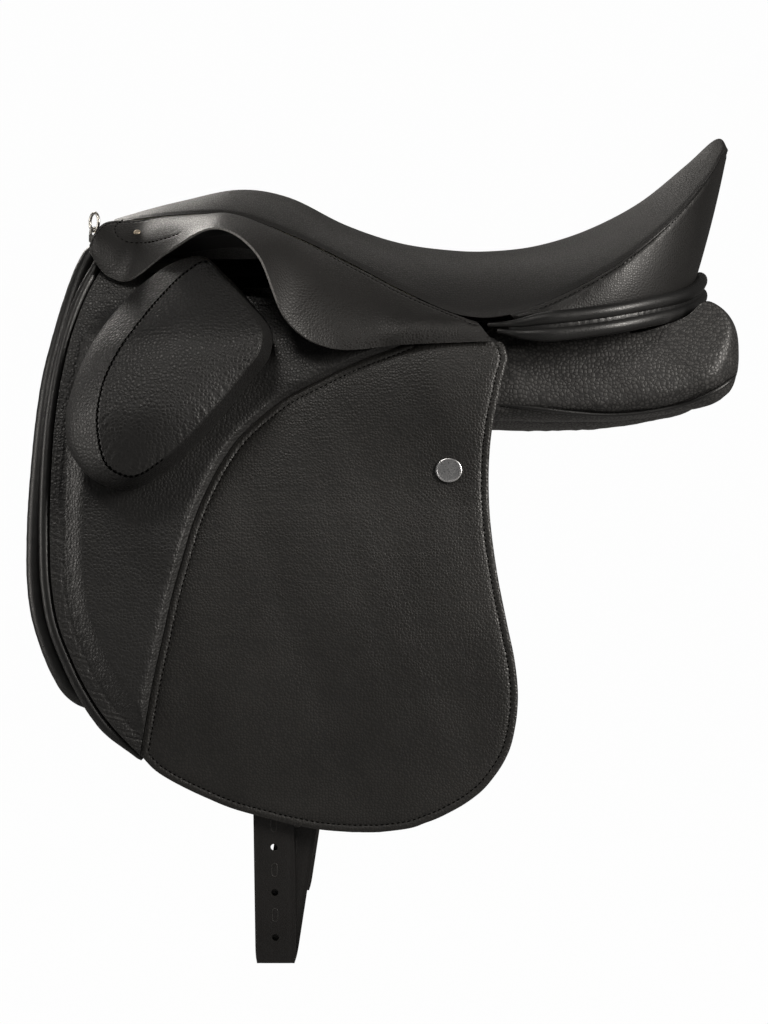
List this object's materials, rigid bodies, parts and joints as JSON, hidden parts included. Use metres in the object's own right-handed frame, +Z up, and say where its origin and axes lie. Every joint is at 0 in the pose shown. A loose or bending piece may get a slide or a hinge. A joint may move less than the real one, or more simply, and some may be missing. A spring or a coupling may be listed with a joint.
{
  "type": "dressage saddle",
  "caption": "English dressage saddle with a deep seat, outer knee blocks, hinged flaps and skirts, flocked panels, stirrup bars and long girth straps.",
  "frame": {"origin": "on the middle plane at the height of the panels' lowest line, 191 mm forward of the cantle's rearmost point", "axes": "+X to the cantle, so the horse faces -X; +Z up; -Y is the near (left) side"},
  "size_m": [0.5079, 0.3994, 0.592],
  "materials": {
    "smooth_leather": "smooth, soft sheen",
    "grained_leather": "coarse grain, soft sheen",
    "seat_foam": "matt open foam",
    "tree_shell": "moulded, matt",
    "girth_webbing": "woven",
    "steel": "brushed",
    "satin_metal": "satin silver",
    "chrome": "polished"
  },
  "bodies": {
    "tree_and_seat": {"tree": "tree_shell", "seat_foam": "seat_foam", "seat_cover": "smooth_leather", "cantle_roll_upper": "smooth_leather", "cantle_roll_lower": "smooth_leather", "front_facing": "smooth_leather", "head_plate": "steel", "cantle_gusset_left": "smooth_leather", "cantle_gusset_right": "smooth_leather", "panel_left": "grained_leather", "panel_right": "grained_leather", "panel_front_roll_left": "smooth_leather", "panel_front_roll_right": "smooth_leather", "sweat_flap_left": "smooth_leather", "sweat_flap_right": "smooth_leather", "front_girth_web_left": "girth_webbing", "front_girth_web_right": "girth_webbing", "rear_girth_web_left": "girth_webbing", "rear_girth_web_right": "girth_webbing", "stirrup_bar_base_left": "steel", "stirrup_bar_base_right": "steel", "stirrup_bar_left": "steel", "stirrup_bar_right": "steel", "bar_rivet_front_left": "steel", "bar_rivet_front_right": "steel", "bar_rivet_rear_left": "steel", "bar_rivet_rear_right": "steel", "dee_staple_left": "chrome", "dee_staple_right": "chrome"},
    "left_flap": {"flap_left": "smooth_leather", "flap_overlay_left": "smooth_leather", "flap_front_pad_left": "grained_leather", "flap_welt_left": "smooth_leather", "knee_block_left": "grained_leather", "flap_disc_left": "satin_metal"},
    "left_skirt": {"skirt_left": "smooth_leather", "saddle_nail_left": "chrome"},
    "left_front_strap": {"front_girth_strap_left": "smooth_leather"},
    "left_rear_strap": {"rear_girth_strap_left": "smooth_leather"},
    "left_bar_catch": {"stirrup_bar_catch_left": "steel"},
    "left_dee_ring": {"dee_ring_left": "chrome"},
    "right_flap": {"flap_right": "smooth_leather", "flap_overlay_right": "smooth_leather", "flap_front_pad_right": "grained_leather", "flap_welt_right": "smooth_leather", "knee_block_right": "grained_leather"},
    "right_skirt": {"skirt_right": "smooth_leather", "saddle_nail_right": "chrome"},
    "right_front_strap": {"front_girth_strap_right": "smooth_leather"},
    "right_rear_strap": {"rear_girth_strap_right": "smooth_leather"},
    "right_bar_catch": {"stirrup_bar_catch_right": "steel"},
    "right_dee_ring": {"dee_ring_right": "chrome"}
  },
  "joints": [
    {"name": "left_flap_lift", "type": "hinge", "parent": "tree_and_seat", "child": "left_flap", "pos_m": [-0.165, -0.075, 0.152], "axis": [-0.9449, 0.1635, 0.2835], "range_deg": [0, 45]},
    {"name": "left_skirt_lift", "type": "hinge", "parent": "tree_and_seat", "child": "left_skirt", "pos_m": [-0.165, -0.075, 0.152], "axis": [-0.9449, 0.1635, 0.2835], "range_deg": [0, 63]},
    {"name": "left_front_strap_swing", "type": "hinge", "parent": "tree_and_seat", "child": "left_front_strap", "pos_m": [-0.14979, -0.11887, 0.042], "axis": [0, 1, 0], "range_deg": [-4, 4]},
    {"name": "left_rear_strap_swing", "type": "hinge", "parent": "tree_and_seat", "child": "left_rear_strap", "pos_m": [-0.08014, -0.12479, 0.042], "axis": [0, 1, 0], "range_deg": [-4, 4]},
    {"name": "left_bar_catch_turn", "type": "hinge", "parent": "tree_and_seat", "child": "left_bar_catch", "pos_m": [-0.1322, -0.09877, 0.111], "axis": [0, -1, 0], "range_deg": [0, 60]},
    {"name": "left_dee_ring_turn", "type": "hinge", "parent": "tree_and_seat", "child": "left_dee_ring", "pos_m": [-0.281, -0.062, 0.1434], "axis": [0.5592, -0.829, 0], "range_deg": [-75, 75]},
    {"name": "right_flap_lift", "type": "hinge", "parent": "tree_and_seat", "child": "right_flap", "pos_m": [-0.165, 0.075, 0.152], "axis": [0.9449, 0.1635, -0.2835], "range_deg": [0, 45]},
    {"name": "right_skirt_lift", "type": "hinge", "parent": "tree_and_seat", "child": "right_skirt", "pos_m": [-0.165, 0.075, 0.152], "axis": [0.9449, 0.1635, -0.2835], "range_deg": [0, 63]},
    {"name": "right_front_strap_swing", "type": "hinge", "parent": "tree_and_seat", "child": "right_front_strap", "pos_m": [-0.14979, 0.11887, 0.042], "axis": [0, 1, 0], "range_deg": [-4, 4]},
    {"name": "right_rear_strap_swing", "type": "hinge", "parent": "tree_and_seat", "child": "right_rear_strap", "pos_m": [-0.08014, 0.12479, 0.042], "axis": [0, 1, 0], "range_deg": [-4, 4]},
    {"name": "right_bar_catch_turn", "type": "hinge", "parent": "tree_and_seat", "child": "right_bar_catch", "pos_m": [-0.1322, 0.09877, 0.111], "axis": [0, -1, 0], "range_deg": [0, 60]},
    {"name": "right_dee_ring_turn", "type": "hinge", "parent": "tree_and_seat", "child": "right_dee_ring", "pos_m": [-0.281, 0.062, 0.1434], "axis": [0.5592, 0.829, 0], "range_deg": [-75, 75]}
  ],
  "couplings": [
    {"joint": "left_skirt_lift", "follows": "left_flap_lift", "ratio": 1.4},
    {"joint": "right_skirt_lift", "follows": "right_flap_lift", "ratio": 1.4}
  ]
}
